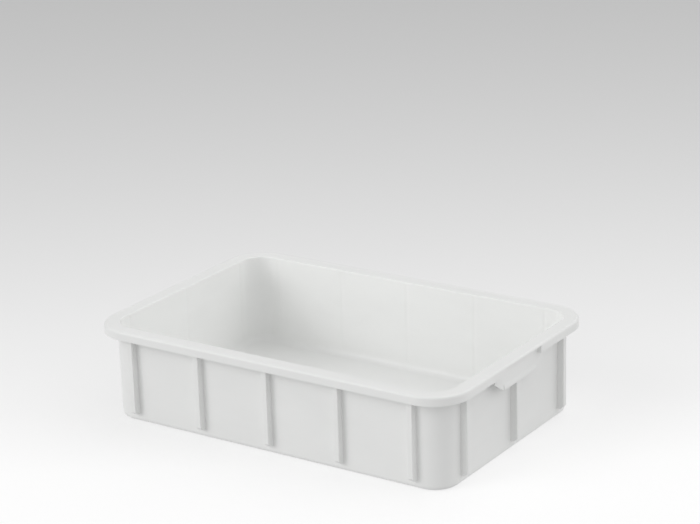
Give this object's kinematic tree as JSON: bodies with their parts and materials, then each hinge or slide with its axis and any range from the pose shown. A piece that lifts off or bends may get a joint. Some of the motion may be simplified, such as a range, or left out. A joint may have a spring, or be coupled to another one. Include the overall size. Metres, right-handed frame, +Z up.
{
  "type": "developing tray",
  "caption": "Deep rectangular white plastic developing tray with rounded corners, a turned-down rim, outside stiffening ribs and a finger grip at each short end.",
  "frame": {"origin": "middle of the base, on the surface that the tray stands on", "axes": "+Z up out of the mouth of the tray, +X along its long side, +Y along its short side"},
  "size_m": [0.6, 0.4, 0.142],
  "materials": {
    "white_polyethylene": "natural white injection-moulded polyethylene, semi-translucent, satin"
  },
  "bodies": {
    "root": {"base_pan": "white_polyethylene", "corner_wall_back_left": "white_polyethylene", "corner_wall_back_right": "white_polyethylene", "corner_wall_front_left": "white_polyethylene", "corner_wall_front_right": "white_polyethylene", "grip_left": "white_polyethylene", "grip_right": "white_polyethylene", "rib_back_1": "white_polyethylene", "rib_back_2": "white_polyethylene", "rib_back_3": "white_polyethylene", "rib_back_4": "white_polyethylene", "rib_back_5": "white_polyethylene", "rib_front_1": "white_polyethylene", "rib_front_2": "white_polyethylene", "rib_front_3": "white_polyethylene", "rib_front_4": "white_polyethylene", "rib_front_5": "white_polyethylene", "rib_left_1": "white_polyethylene", "rib_left_2": "white_polyethylene", "rib_left_3": "white_polyethylene", "rib_right_1": "white_polyethylene", "rib_right_2": "white_polyethylene", "rib_right_3": "white_polyethylene", "rim_back": "white_polyethylene", "rim_corner_back_left": "white_polyethylene", "rim_corner_back_right": "white_polyethylene", "rim_corner_front_left": "white_polyethylene", "rim_corner_front_right": "white_polyethylene", "rim_front": "white_polyethylene", "rim_left": "white_polyethylene", "rim_right": "white_polyethylene", "wall_back": "white_polyethylene", "wall_front": "white_polyethylene", "wall_left": "white_polyethylene", "wall_right": "white_polyethylene"}
  },
  "joints": []
}
